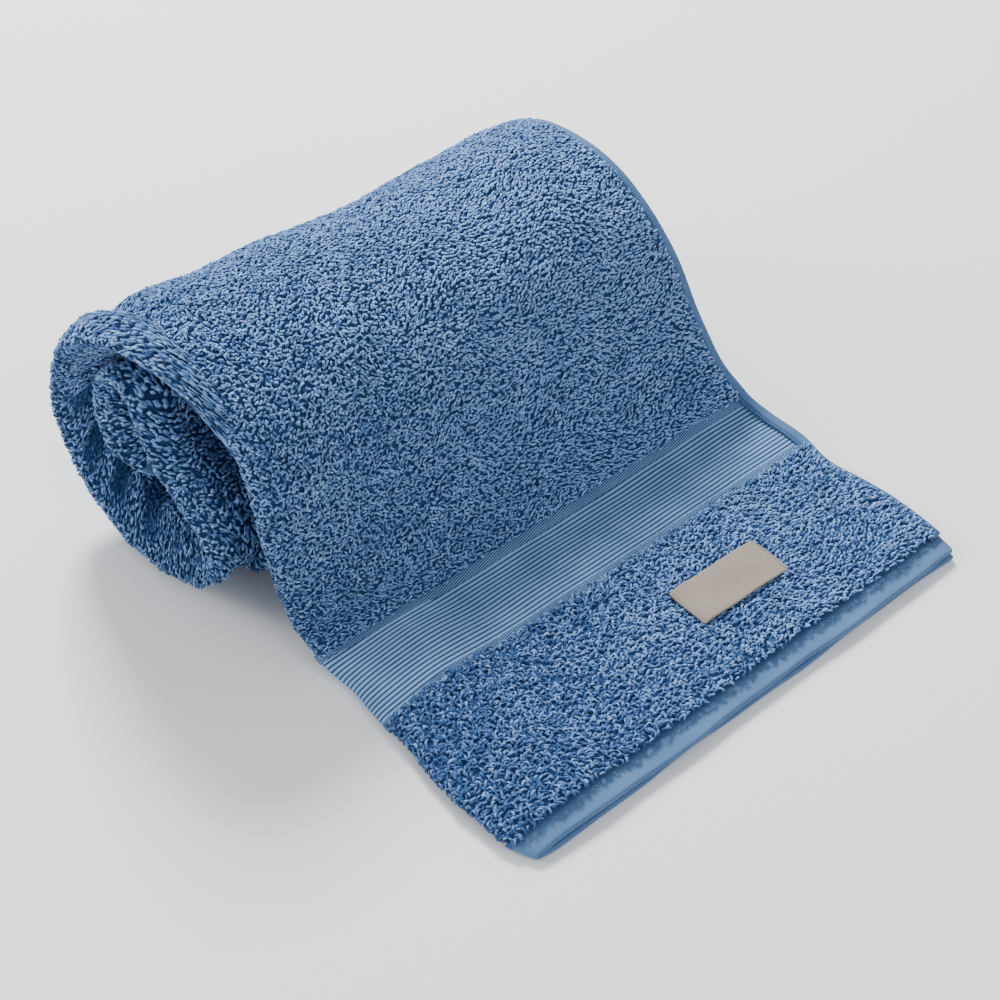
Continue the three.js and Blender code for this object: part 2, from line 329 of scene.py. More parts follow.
    def middle(self, along: np.ndarray, x: np.ndarray) -> tuple[np.ndarray, np.ndarray]:
        """Y and Z of the middle line, read between the slices by two linear steps.

        Args:
            along: Distances along the cloth.
            x: Places along the roll.

        Returns:
            Y and Z.
        """
        place = (x - self.first_x) / (self.last_x - self.first_x) * (self.slice_count - 1)
        row = np.clip(np.floor(place).astype(int), 0, self.slice_count - 2)
        across = np.clip(place - row, 0.0, 1.0)[..., None]
        at = np.maximum(along / self.step, 0.0)
        index = np.minimum(at.astype(int), self.slices.shape[1] - 2)
        t = (at - index)[..., None]
        near = self.slices[row, index] * (1 - t) + self.slices[row, index + 1] * t
        far = self.slices[row + 1, index] * (1 - t) + self.slices[row + 1, index + 1] * t
        point = near * (1 - across) + far * across
        return point[..., 0], point[..., 1]


@dataclass
class FoldedCloth:
    """The folded cloth's outer skin, as a function of the distance along it and the distance round its fold.

    Round the fold runs from minus on the inner face, through 0 at the fold's edge, to plus on the outer face.
    """

    cut: ClothCut
    path: WoundPath
    nose_reach: float = 14.0
    bulbs: np.ndarray = field(default_factory=lambda: np.array([
        # along the cloth, distance from the fold, rise of the outer face there, rise of the inner face
        [0, 34, 0.8, 0], [30, 34, 2.6, 0], [84, 36, 3.6, 0], [130, 36, 3.2, 0], [190, 30, 2.0, 0.4],
        [230, 24, 0.2, 0.4], [300, 24, 0.2, 0.4], [450, 24, 1.0, 0.4], [560, 24, 1.5, 0.6],
        [630, 22, 4.0, 2.4], [700, 21, 4.6, 3.2], [760, 21, 3.6, 3.2], [820, 20, 2.6, 2.6],
        [870, 18, 3.0, 2.2], [920, 18, 3.4, 2.6], [1000, 18, 3.0, 2.2],
    ], dtype=float))
    creases: np.ndarray = field(default_factory=lambda: np.array([
        # along the cloth, half width, depth, slant: soft folds across the inner face of the cuff
        [712, 10, 4.2, 0.25], [740, 11, 6.0, 0.10], [766, 10, 5.8, -0.10], [792, 11, 4.6, -0.25],
    ]))
    round_at: np.ndarray = field(init=False)
    round_x: np.ndarray = field(init=False)
    round_h: np.ndarray = field(init=False)

    def __post_init__(self) -> None:
        """Tabulate the fold's half ellipse by the length of its arc."""
        turn = np.linspace(0.0, np.pi / 2, 200)
        x = self.nose_reach * (1 - np.cos(turn))
        h = self.cut.pile_half * np.sin(turn)
        length = np.concatenate([[0.0], np.cumsum(np.hypot(np.diff(x), np.diff(h)))])
        self.round_at, self.round_x, self.round_h = length, x, h / self.cut.pile_half

    @property
    def reach(self) -> float:
        """Distance round the fold from its edge to the selvage."""
        return self.cut.folded_width - self.nose_reach + float(self.round_at[-1])

    def soft_form(self, along: np.ndarray, around: np.ndarray) -> np.ndarray:
        """Height that the springy fold and soft folds add to the face.

        A raised cosine stands beside the fold on each face, two sines cross on the roll's outer face, and the
        cuff's inner face has four slanting dips.

        Args:
            along: Distances along the cloth.
            around: Distances round the fold.

        Returns:
            Height over the plain face.
        """
        size = np.abs(around)
        middle = cubic_table(self.bulbs, 1, along)
        beside = np.where(size < 2 * middle, 0.5 - 0.5 * np.cos(np.pi * size / middle), 0.0)
        rise = beside * np.where(around > 0, cubic_table(self.bulbs, 2, along),
                                 cubic_table(self.bulbs, 3, along))
        waves = 0.5 * (np.sin(along * 0.105 + 1.3 * np.sin(around * 0.045))
                       + np.sin(around * 0.083 - along * 0.034))
        rise = rise + waves * smooth_step(along, 135.0, 170.0) * smooth_step(around, 5.0, 40.0)
        return rise - self.crease_depth(along, around)

    def crease_depth(self, along: np.ndarray, around: np.ndarray) -> np.ndarray:
        """Depth of the cuff's slanting folds: a raised cosine across each, growing inwards from the edge.

        Args:
            along: Distances along the cloth.
            around: Distances round the fold.

        Returns:
            Depth under the plain face.
        """
        size = np.abs(around)
        inside = np.where(around < 0, smooth_step(size, 3.0, 16.0), 0.0)
        return sum(depth * inside * hump(along - at - slant * size, width)
                   for at, width, depth, slant in self.creases)

    def place(self, along: np.ndarray, around: np.ndarray, stand: np.ndarray,
              half: float | np.ndarray | None = None) -> np.ndarray:
        """Points of the cloth in the part's frame.

        The fold's section gives X and the height from the pair's middle; the height is then laid off at right
        angles to the wound middle line.

        Args:
            along: Distances along the cloth from the hem.
            around: Distances round the fold.
            stand: Distances that the points stand out of the skin.
            half: Half the pair's thickness there; as where it has pile, if none is given.

        Returns:
            Points in metres, with X, Y and Z on the last axis.
        """
        half = self.cut.pile_half if half is None else half
        along, around, stand = np.broadcast_arrays(along, around, stand)
        size = np.abs(around)
        nose = self.round_at[-1]
        x_in = np.where(size < nose, np.interp(size, self.round_at, self.round_x),
                        size - nose + self.nose_reach)
        unit = np.where(size < nose, np.interp(size, self.round_at, self.round_h), 1.0)
        turn = np.arcsin(np.clip(unit, 0.0, 1.0))
        normal_h = np.sin(turn) * self.nose_reach
        normal_x = -np.cos(turn) * half
        size_n = np.hypot(normal_h, normal_x)
        side = np.where(around >= 0, 1.0, -1.0)
        near = cubic_table(self.path.edges, 1, along)
        far = cubic_table(self.path.edges, 2, along)
        x = near + (x_in + stand * normal_x / size_n) * (far - near) / self.cut.folded_width
        height = side * (half * unit + stand * normal_h / size_n + self.soft_form(along, around))
        offset = height - (self.cut.pile_half - half)
        ahead_y, ahead_z = self.path.middle(along + 3.0, x)
        behind_y, behind_z = self.path.middle(along - 3.0, x)
        middle_y, middle_z = self.path.middle(np.clip(along, 0.0, self.cut.length), x)
        run = np.hypot(ahead_y - behind_y, ahead_z - behind_z)
        dy, dz = (ahead_y - behind_y) / run, (ahead_z - behind_z) / run
        over = along - np.clip(along, 0.0, self.cut.length)
        y = middle_y + dy * over - dz * offset
        z = np.maximum(middle_z + dz * over + dy * offset, 0.02)
        return in_frame(x, y, z)


@dataclass
class MeshMaker:
    """Puts whole arrays of points and faces into Blender meshes and fits them to the frame."""

    pieces: list[bpy.types.Object] = field(default_factory=list)

    def piece(self, name: str, points: np.ndarray, quads: np.ndarray, triangles: np.ndarray,
              material: bpy.types.Material, node: str = "towel") -> bpy.types.Object:
        """Make one piece of the towel.

        Args:
            name: Name of the piece.
            points: Rows of X, Y and Z in metres.
            quads: Rows of four point numbers.
            triangles: Rows of three point numbers.
            material: Finish of the piece.
            node: Solid that it stands for.

        Returns:
            The new object.
        """
        mesh = bpy.data.meshes.new(name)
        mesh.vertices.add(len(points))
        mesh.vertices.foreach_set("co", np.ascontiguousarray(points, dtype=np.float32).ravel())
        corners = np.concatenate([quads.ravel(), triangles.ravel()]).astype(np.int32)
        totals = np.concatenate([np.full(len(quads), 4), np.full(len(triangles), 3)]).astype(np.int32)
        starts = np.concatenate([[0], np.cumsum(totals)[:-1]]).astype(np.int32)
        mesh.loops.add(len(corners))
        mesh.loops.foreach_set("vertex_index", corners)
        mesh.polygons.add(len(totals))
        mesh.polygons.foreach_set("loop_start", starts)
        mesh.polygons.foreach_set("loop_total", totals)
        mesh.polygons.foreach_set("use_smooth", np.ones(len(totals), dtype=bool))
        mesh.update(calc_edges=True)
        mesh.validate()
        mesh.materials.append(material)
        piece = add_object(name, mesh)
        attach(piece, "root")
        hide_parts(node)
        self.pieces.append(piece)
        LOG.info("%s: %d points, %d faces", name, len(points), len(totals))
        return piece

    @staticmethod
    def tag(piece: bpy.types.Object, name: str, values: np.ndarray) -> None:
        """Store one number for each point under a name that a finish reads."""
        layer = piece.data.attributes.new(name, "FLOAT", "POINT")
        layer.data.foreach_set("value", np.ascontiguousarray(values, dtype=np.float32).ravel())

    @staticmethod
    def map_cloth(piece: bpy.types.Object, around: np.ndarray, along: np.ndarray) -> None:
        """Store each point's place on the cloth, in metres, as the piece's UV map.

        Args:
            piece: Object whose mesh gets the map.
            around: Distances round the fold of its points, in millimetres.
            along: Distances along the cloth of its points, in millimetres.
        """
        mesh = piece.data
        layer = mesh.uv_layers.new(name="cloth")
        corner = np.empty(len(mesh.loops), dtype=np.int32)
        mesh.loops.foreach_get("vertex_index", corner)
        places = np.stack([around.ravel()[corner], along.ravel()[corner]], axis=1) * TO_METRES
        layer.data.foreach_set("uv", places.astype(np.float32).ravel())


@dataclass
class ClothBand:
    """A closed thin band of cloth: two skins over a grid of places, joined round their rims."""

    along: np.ndarray
    around: np.ndarray

    def places(self) -> tuple[np.ndarray, np.ndarray]:
        """Grid of distances along the cloth and round the fold."""
        return np.meshgrid(self.along, self.around, indexing="ij")

    def faces(self) -> np.ndarray:
        """Four-cornered faces of the two skins and the four rims.

        Returns:
            Rows of point numbers, outer skin first, turned outwards.
        """
        rows, columns = len(self.along), len(self.around)
        number = np.arange(rows * columns).reshape(rows, columns)
        inner = number + rows * columns
        skin = np.stack([number[:-1, :-1], number[:-1, 1:], number[1:, 1:], number[1:, :-1]], axis=-1)
        skin = skin.reshape(-1, 4)
        rims = [skin, skin[:, ::-1] + rows * columns]
        for outer_rim, inner_rim, flip in (
                (number[0], inner[0], True), (number[-1], inner[-1], False),
                (number[:, 0], inner[:, 0], False), (number[:, -1], inner[:, -1], True)):
            rim = np.stack([outer_rim[:-1], outer_rim[1:], inner_rim[1:], inner_rim[:-1]], axis=-1)
            rims.append(rim[:, ::-1] if flip else rim)
        return np.concatenate(rims)


@dataclass
class ClothPart:
    """Anything that is made on the cloth: it knows the cloth's form and has the maker of meshes."""

    cloth: FoldedCloth
    maker: MeshMaker
    fold_zone: float = 18.0

    def around_fold(self, end: float, nose_step: float, inner_step: float, outer_step: float) -> np.ndarray:
        """Places round the fold, close together at its edge and further apart on the two faces."""
        zone = self.fold_zone
        return np.concatenate([-even(zone, end, inner_step)[::-1], even(-zone, zone, nose_step)[1:-1],
                               even(zone, end, outer_step)])

    def skins(self, along: np.ndarray, around: np.ndarray, outer: np.ndarray, inner: np.ndarray | float,
              half: float | np.ndarray | None = None) -> tuple[np.ndarray, np.ndarray]:
        """Two skins of the cloth that stand out by the outer and the inner distances."""
        return self.cloth.place(along, around, outer, half), self.cloth.place(along, around, inner, half)

    def closed_band(self, name: str, band: ClothBand, skins: tuple[np.ndarray, np.ndarray],
                    tone: np.ndarray | float, material: bpy.types.Material,
                    threads: tuple[np.ndarray, np.ndarray] | None = None, node: str = "towel",
                    mirrored: bool = False) -> bpy.types.Object:
        """Make a closed thin piece from its outer and its inner skin.

        Args:
            name: Name of the piece.
            band: Grid of places that both skins are laid over.
            skins: Points of the outer skin and of the inner one.
            tone: Shade of each place, on both skins.
            material: Finish of the piece.
            threads: Places across and along its threads, if its finish has any.
            node: Solid that it stands for.
            mirrored: True where the skins' points run the other way round.

        Returns:
            The new object.
        """
        faces = band.faces()
        points = np.concatenate([skin.reshape(-1, 3) for skin in skins])
        faces = faces[:, ::-1] if mirrored else faces
        piece = self.maker.piece(name, points, faces, NO_TRIANGLES, material, node)
        if threads is not None:
            self.maker.map_cloth(piece, *(np.tile(places.ravel(), 2) for places in threads))
        self.maker.tag(piece, "tone", np.tile(np.broadcast_to(tone, skins[0].shape[:-1]).ravel(), 2))
        return piece


@dataclass
class FinishNodes:
    """The nodes of a new material, with short ways to add and fill them."""

    name: str
    material: bpy.types.Material = field(init=False)

    def __post_init__(self) -> None:
        """Start the material from its plain shader."""
        self.material = bpy.data.materials.new(self.name)
        self.material.use_nodes = True

    def fill(self, node: bpy.types.Node, inputs: dict) -> bpy.types.Node:
        """Fill a node's inputs.

        Args:
            node: Node to fill.
            inputs: For each input's name or number a value, or the output that feeds it.

        Returns:
            The same node.
        """
        for name, value in inputs.items():
            if isinstance(value, bpy.types.NodeSocket):
                self.material.node_tree.links.new(value, node.inputs[name])
            else:
                node.inputs[name].default_value = value
        return node

    def add(self, kind: str, inputs: dict) -> bpy.types.Node:
        """Add a node of a kind and fill its inputs."""
        return self.fill(self.material.node_tree.nodes.new("ShaderNode" + kind), inputs)

    def noise(self, scale: float, detail: float) -> bpy.types.NodeSocket:
        """Soft patches over the piece, from its own coordinates."""
        place = self.add("TexCoord", {}).outputs["Object"]
        return self.add("TexNoise", {"Scale": scale, "Detail": detail, "Vector": place}).outputs["Fac"]

    def multiply_add(self, value: bpy.types.NodeSocket, factor: float,
                     base: bpy.types.NodeSocket) -> bpy.types.NodeSocket:
        """The value times the factor, plus the base.

        Args:
            value: Output to multiply.
            factor: Number that multiplies it.
            base: Output that is added.

        Returns:
            The sum's output.
        """
        node = self.add("Math", {})
        node.operation = "MULTIPLY_ADD"
        return self.fill(node, {0: value, 1: factor, 2: base}).outputs[0]

    def tone(self) -> bpy.types.NodeSocket:
        """The tone that each point of the piece carries.

        Returns:
            Output of the tone.
        """
        node = self.add("Attribute", {})
        node.attribute_name = "tone"
        return node.outputs["Fac"]

    def ramp(self, amount: bpy.types.NodeSocket, start: float, dark: tuple[float, float, float],
             light: tuple[float, float, float]) -> bpy.types.NodeSocket:
        """Colour that goes from dark to light.

        Args:
            amount: Output that picks the colour.
            start: Amount up to which it stays dark; it is light from 1.
            dark: Colour at the start.
            light: Colour at 1.

        Returns:
            Output of the colour.
        """
        node = self.add("ValToRGB", {"Fac": amount})
        for element, position, colour in zip(node.color_ramp.elements, (start, 1.0), (dark, light)):
            element.position = position
            element.color = (*colour, 1.0)
        return node.outputs["Color"]

    def bump(self, strength: float, distance: float, height: bpy.types.NodeSocket) -> bpy.types.NodeSocket:
        """Bumps of a height over the surface, in metres."""
        node = self.add("Bump", {"Strength": strength, "Distance": distance, "Height": height})
        return node.outputs["Normal"]

    def finish(self, inputs: dict) -> bpy.types.Material:
        """Fill the plain shader's inputs and give the material."""
        self.fill(self.material.node_tree.nodes["Principled BSDF"], inputs)
        return self.material


@dataclass(frozen=True)
class TerryFinish:
    """Dyed cotton terry: a colour for the shaded feet of the loops and one for their lit crowns."""

    name: str
    dark: tuple[float, float, float]
    light: tuple[float, float, float]
    sheen: float
    fibre_scale: float = 2600.0
    fibre_relief: float = 0.0003
    bump: float = 0.25

    def make(self) -> bpy.types.Material:
        """Build the finish.

        Returns:
            Material that mixes the two colours by the tone of each point, which is each loop's own tone with
            painted shade and light, and by soft patches over the cloth.
        """
        nodes = FinishNodes(self.name)
        shade = nodes.multiply_add(nodes.noise(38.0, 3.0), 0.45, nodes.tone())
        return nodes.finish({
            "Base Color": nodes.ramp(shade, 0.2, self.dark, self.light), "Roughness": 0.92,
            "Specular IOR Level": 0.22, "Sheen Weight": self.sheen, "Sheen Roughness": 0.45,
            "Sheen Tint": (0.62, 0.78, 1.0, 1.0),
            "Normal": nodes.bump(self.bump, self.fibre_relief, nodes.noise(self.fibre_scale, 2.0))})


@dataclass(frozen=True)
class WovenFinish:
    """Flat woven cotton: fine threads across the piece, read from its place on the cloth."""

    name: str
    dark: tuple[float, float, float]
    light: tuple[float, float, float]
    thread_pitch: float = 0.0011
    slant: float = 0.0
    relief: float = 0.00012
    thread_share: float = 0.35

    def make(self) -> bpy.types.Material:
        """Build the finish.

        Returns:
            Material whose colour follows the piece's tone, which on the border and the hems holds painted
            light and shade, lines of thread and soft patches.
        """
        nodes = FinishNodes(self.name)
        cloth = nodes.add("UVMap", {})
        cloth.uv_map = "cloth"
        turn = nodes.add("Mapping", {"Rotation": (0.0, 0.0, self.slant), "Vector": cloth.outputs["UV"]})
        threads = nodes.add("TexWave", {
            "Scale": WAVE_LENGTH / self.thread_pitch, "Distortion": 0.5, "Detail": 1.0, "Detail Scale": 1.5,
            "Vector": turn.outputs["Vector"]})
        threads.wave_type = "BANDS"
        threads.bands_direction = "X"
        lines = threads.outputs["Fac"]
        shade = nodes.multiply_add(lines, self.thread_share, nodes.tone())
        shade = nodes.multiply_add(nodes.noise(60.0, 4.0), 0.5, shade)
        return nodes.finish({
            "Base Color": nodes.ramp(shade, 0.1, self.dark, self.light), "Roughness": 0.8,
            "Specular IOR Level": 0.25, "Sheen Weight": 0.2, "Sheen Roughness": 0.4,
            "Sheen Tint": (0.7, 0.82, 1.0, 1.0), "Normal": nodes.bump(0.8, self.relief, lines)})


@dataclass(frozen=True)
class PileZone:
    """A patch of loops, with how close they stand, how long and thick they are, and how they curl."""

    name: str
    along: tuple[float, float]
    around: tuple[float, float]
    pitch: tuple[float, float]
    length: float
    thickness: float
    curled: bool = False
    seed: int = 1


# Points along a loop: share of its length, height in millimetres, share of its girth, lean of the ring there.
CURLED_LOOP = np.array([[-0.44, -2.4, 0.0, 0.0], [-0.42, -0.75, 0.48, -0.75], [0.0, 0.0, 0.52, 0.0],
                        [0.42, -0.75, 0.48, 0.75], [0.44, -2.4, 0.0, 0.0]])
PLAIN_LOOP = np.array([[-0.52, -2.2, 0.0, 0.0], [-0.27, -0.10, 0.5, -0.4], [0.27, -0.10, 0.5, 0.4],
                       [0.52, -2.2, 0.0, 0.0]])


@dataclass
class Pile(ClothPart):
    """The terry's loops: small arches of yarn that stand on the ground cloth and lean all ways."""

    sides: int = 3
    foot_depth: float = 2.4
    # Painted shade on a loop's feet and shoulders and painted light on its crown, added to its own tone.
    foot_painted_shade: float = -1.0
    shoulder_painted_shade: float = -0.12
    crown_painted_light: float = 0.05
    # Least and most of each loop's size, as shares of its zone's.
    length_range: tuple[float, float] = (0.72, 1.28)
    thickness_range: tuple[float, float] = (0.8, 1.18)
    # Middle and spread of what each loop has of its own.
    crown_height: tuple[float, float] = (-0.42, 0.22)
    lean: tuple[float, float] = (0.1, 0.5)
    tilt: tuple[float, float] = (0.0, 0.30)
    bend: tuple[float, float] = (0.0, 0.22)
    own_tone: tuple[float, float] = (0.5, 0.2)
    short_edge: float = 2.2
    long_edge: float = 5.6
    zones: tuple[PileZone, ...] = (
        PileZone("pile_loose_end", (9.6, 86.0), (-15.0, 249.0), (1.85, 1.32), 2.8, 1.05, True, seed=11),
        PileZone("pile_slope", (128.6, 226.0), (-15.0, 249.0), (1.76, 1.04), 2.3, 0.88, seed=12),
        PileZone("pile_top", (226.0, 330.0), (-15.0, 249.0), (1.85, 1.10), 2.4, 0.94, seed=13),
        PileZone("pile_back", (330.0, 470.0), (-15.0, 249.0), (2.65, 2.3), 3.2, 1.65, seed=14),
        PileZone("pile_under", (470.0, 600.0), (-15.0, 249.0), (4.0, 3.6), 4.2, 2.2, seed=15),
        PileZone("pile_under_inner", (470.0, 600.0), (-90.0, -15.0), (3.2, 2.9), 3.7, 2.0, seed=23),
        PileZone("pile_cuff", (600.0, 880.0), (-48.0, 46.0), (1.85, 1.35), 2.35, 1.02, seed=16),
        PileZone("pile_core", (880.0, 1000.0), (-48.0, 46.0), (2.1, 1.7), 2.7, 1.3, seed=20),
        PileZone("pile_far_outer", (560.0, 1000.0), (217.0, 249.0), (3.1, 2.9), 3.7, 1.9, seed=17),
        PileZone("pile_far_inner", (560.0, 1000.0), (-249.0, -217.0), (3.1, 2.9), 3.7, 1.9, seed=18),
        PileZone("pile_far_flap", (134.0, 560.0), (-249.0, -221.0), (3.1, 2.9), 3.7, 1.9, seed=22),
        PileZone("pile_flap_inner", (170.0, 400.0), (-70.0, -15.0), (2.6, 2.3), 3.1, 1.5, seed=19),
        PileZone("pile_hollow", (600.0, 1000.0), (-110.0, -48.0), (3.2, 2.9), 3.7, 2.0, seed=21),
    )

    def seats(self, zone: PileZone, dice: np.random.Generator) -> tuple[np.ndarray, np.ndarray]:
        """Places of a zone's loops: a grid with every second row shifted, each place moved a little.

        Args:
            zone: Patch of loops.
            dice: Seeded source of numbers.

        Returns:
            Distances along the cloth and round the fold.
        """
        along = np.arange(zone.along[0] + zone.pitch[1] / 2, zone.along[1], zone.pitch[1])
        around = np.arange(zone.around[0] + zone.pitch[0] / 2, zone.around[1], zone.pitch[0])
        grid_along, grid_around = np.meshgrid(along, around, indexing="ij")
        grid_around = grid_around + zone.pitch[0] * 0.5 * (np.arange(len(along)) % 2)[:, None]
        count = grid_along.size
        moved_along = grid_along.ravel() + dice.uniform(-0.5, 0.5, count) * zone.pitch[1]
        moved_around = grid_around.ravel() + dice.uniform(-0.45, 0.45, count) * zone.pitch[0]
        cut = self.cloth.cut
        edge = np.where(moved_along < cut.border_start + 2, self.short_edge, self.long_edge)
        keep = (np.abs(moved_around) < self.cloth.reach - edge) & (moved_along < cut.length - cut.hem_end)
        return moved_along[keep], moved_around[keep]

    @staticmethod
    def lie_of_pile(along: np.ndarray, around: np.ndarray) -> tuple[np.ndarray, np.ndarray]:
        """Slow changes over the cloth: sums of sines give the way that the loops lie and how high they stand.

        Args:
            along: Distances along the cloth.
            around: Distances round the fold.

        Returns:
            Heading of the loops in radians from across the cloth, and height over their mean.
        """
        heading = 0.22 * (np.sin(along * 0.11 + around * 0.047) + np.sin(along * 0.043 - around * 0.093 + 1.7)
                          + 0.8 * np.sin(along * 0.31 + 2.0 * np.sin(around * 0.12)))
        height = 0.16 * (np.sin(along * 0.52 + 1.6 * np.sin(around * 0.21))
                         + np.sin(around * 0.39 + along * 0.17) + np.sin(around * 0.13 - along * 0.29 + 0.6))
        return heading, height

    def build(self, zone: PileZone, material: bpy.types.Material) -> bpy.types.Object:
        """Make a zone's loops as one piece.

        A loop is a path of points in the plane of its own direction: a foot, two shoulders with a crown
        between them where the yarn curls, and a foot. A ring of yarn stands round each inner point and the
        feet close to a point.

        Args:
            zone: Patch of loops.
            material: Finish of the yarn.

        Returns:
            The new object.
        """
        stations = CURLED_LOOP if zone.curled else PLAIN_LOOP
        share, level, girth, slope = (stations[None, :, column] for column in range(4))
        dice = np.random.default_rng(zone.seed)
        along, around = self.seats(zone, dice)
        count, rings = len(along), len(stations) - 2
        slow_heading, slow_height = self.lie_of_pile(along, around)
        # How fluffy the pile is near the fold: it sets the loops' spread and size, and also how much painted
        # shade they get.
        fluff_and_shade = 1.0 - smooth_step(around, 10, 190)
        heading = slow_heading + dice.normal(0.0, (0.26 + 0.50 * fluff_and_shade) * (1.4 if zone.curled else 1.0))
        length = (zone.length * dice.uniform(*self.length_range, count) * (1 + 0.10 * fluff_and_shade))[:, None]
        thick = zone.thickness * dice.uniform(*self.thickness_range, count)
        crown = dice.normal(*self.crown_height, count) + slow_height
        lean = dice.normal(*self.lean, count)
        tilt = dice.normal(*self.tilt, count)
        bend = dice.normal(*self.bend, count)[:, None] * length * (1 - (2 * share) ** 2)
        height = crown[:, None] + level + tilt[:, None] * share * 1.6
        sideways = lean[:, None] * (level + self.foot_depth) * 0.5 + bend
        angle = np.linspace(0.0, 2 * np.pi, self.sides, endpoint=False) + 0.5
        ring = girth[..., None] * thick[:, None, None]
        local_run = (share * length)[..., None] + ring * np.sin(angle) * np.sin(slope[..., None])
        local_side = sideways[..., None] + ring * np.cos(angle)
        local_up = height[..., None] + ring * np.sin(angle) * np.cos(slope[..., None])
        cos, sin = np.cos(heading)[:, None, None], np.sin(heading)[:, None, None]
        at_around = around[:, None, None] + local_run * cos - local_side * sin
        at_along = along[:, None, None] + local_run * sin + local_side * cos
        skin = self.cloth.place(at_along[:, 1:-1], at_around[:, 1:-1], local_up[:, 1:-1])
        feet = self.cloth.place(*(part[:, ::rings + 1, 0] for part in (at_along, at_around, local_up)))
        points = np.concatenate([feet[:, :1], skin.reshape(count, -1, 3), feet[:, 1:]], axis=1)
        piece = self.maker.piece(zone.name, points.reshape(-1, 3), *self.loop_faces(count, rings), material)
        # Painted shade: loops are darker on the loose end and near the fold, on the inner face and in the
        # cuff's creases, where shade falls on the real cloth.
        shade = ((0.15 + 0.25 * fluff_and_shade if zone.curled else 0.19 * fluff_and_shade) + 0.06 * (around < 0)
                 + 0.11 * self.cloth.crease_depth(along, around))
        own = (np.clip(dice.normal(*self.own_tone, count), 0.05, 1.0) - shade)[:, None]
        # The feet are painted dark as shade between the loops, and the crowns a little lighter as painted
        # light.
        is_shoulder = stations[1:-1, 1] < -0.5
        ring_painted_light_and_shade = np.repeat(np.where(is_shoulder, self.shoulder_painted_shade, self.crown_painted_light), self.sides)
        self.maker.tag(piece, "tone", own + np.concatenate([[self.foot_painted_shade], ring_painted_light_and_shade, [self.foot_painted_shade]]))
        return piece

    def loop_faces(self, count: int, rings: int) -> tuple[np.ndarray, np.ndarray]:
        """Faces of all the loops of a zone: sides between the rings and a fan of triangles at each foot.

        Args:
            count: Number of loops.
            rings: Rings of points on each loop, between its two feet.

        Returns:
            Rows of four point numbers, and rows of three.
        """
        turn = np.arange(self.sides)
        after = (turn + 1) % self.sides
        last = 1 + (rings - 1) * self.sides
        points = last + self.sides + 1
        feet = np.concatenate([
            np.stack([np.zeros_like(turn), 1 + after, 1 + turn], axis=1),
            np.stack([last + turn, last + after, np.full_like(turn, points - 1)], axis=1)])
        return repeated(ring_faces(rings, self.sides, 1), count, points), repeated(feet, count, points)

    def build_all(self, material: bpy.types.Material) -> list[bpy.types.Object]:
        """Make every zone's loops."""
        return [self.build(zone, material) for zone in self.zones]


@dataclass
class GroundCloth(ClothPart):
    """The terry's ground weave, from which the loops stand: one closed sheet folded in half."""

    flat_depth: float = 0.9

    def build(self, material: bpy.types.Material) -> bpy.types.Object:
        """Make the ground cloth over its whole length.

        It lies under the pile by the loops' depth, and lower still under the hem and the woven border.

        Args:
            material: Finish of the weave.

        Returns:
            The new object.
        """
        cut = self.cloth.cut
        along = np.unique(np.concatenate([
            even(0.8, cut.hem_end, 3.0), even(cut.hem_end + 1.5, cut.border_start - 1.0, 4.5),
            even(cut.border_start + 1.0, cut.border_end - 1.0, 4.5),
            even(cut.border_end + 1.0, cut.length - cut.hem_end - 1.0, 6.4),
            [cut.length - 6.0, cut.length - 0.8]]))
        band = ClothBand(along, self.around_fold(self.cloth.reach - 0.5, 2.6, 11.0, 11.0))
        at_along, at_around = band.places()
        at_hem = (at_along < cut.hem_end + 0.5) | (at_along > cut.length - cut.hem_end)
        at_border = (at_along > cut.border_start) & (at_along < cut.border_end)
        half = np.where(at_hem, cut.hem_half, np.where(at_border, cut.border_half, cut.pile_half))
        depth = np.where(at_hem | at_border, self.flat_depth, cut.pile_depth)
        skins = self.skins(at_along, at_around, -depth, -depth - cut.ground_thickness, half)
        return self.closed_band("ground_cloth", band, skins, -0.1, material)


